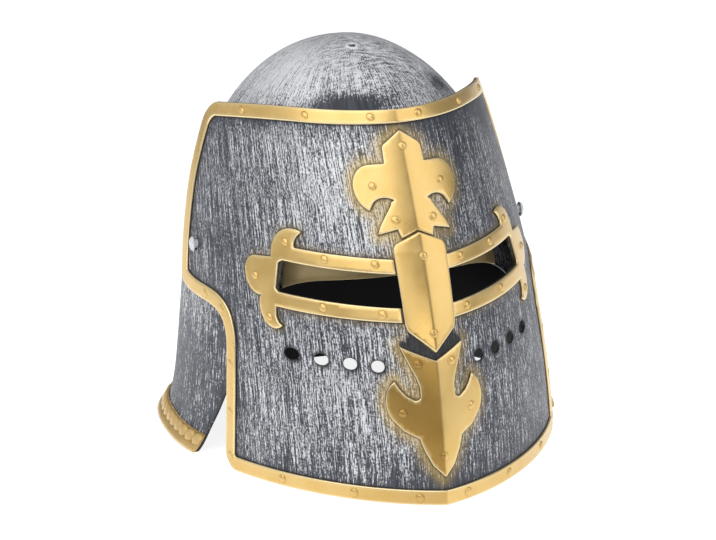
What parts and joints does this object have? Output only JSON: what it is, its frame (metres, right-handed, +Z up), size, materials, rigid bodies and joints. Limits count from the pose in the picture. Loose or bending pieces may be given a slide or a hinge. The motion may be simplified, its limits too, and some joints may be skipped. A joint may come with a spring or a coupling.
{
  "type": "costume knight's helmet with a lifting visor",
  "caption": "Moulded costume knight's helmet: domed skull with flared neck guard, and a keeled visor with sight slots, breath holes and gilt cross that swings up on side studs.",
  "frame": {"origin": "middle of the bounding box on the table that the helmet stands on", "axes": "+Z up, -Y the way the face looks, +X the wearer's left"},
  "size_m": [0.2484, 0.331, 0.243],
  "materials": {
    "silvered_plastic": "dark plastic dry-brushed with silver, satin",
    "gilt_plastic": "gold paint, satin",
    "stud_plastic": "silver-grey, satin"
  },
  "bodies": {
    "helmet": {"skull": "silvered_plastic", "brow_band": "gilt_plastic", "neck_guard_trim": "gilt_plastic", "pivot_stud_left": "stud_plastic", "pivot_stud_right": "stud_plastic"},
    "visor": {"visor_shell": "silvered_plastic", "visor_border": "gilt_plastic", "cross_upper": "gilt_plastic", "nasal": "gilt_plastic", "cross_lower": "gilt_plastic", "eye_frame_left": "gilt_plastic", "eye_frame_right": "gilt_plastic"}
  },
  "joints": [
    {"name": "visor_pivot", "type": "hinge", "parent": "helmet", "child": "visor", "pos_m": [0, 0.0081, 0.126], "axis": [-1, 0, 0], "range_deg": [0, 38]}
  ]
}
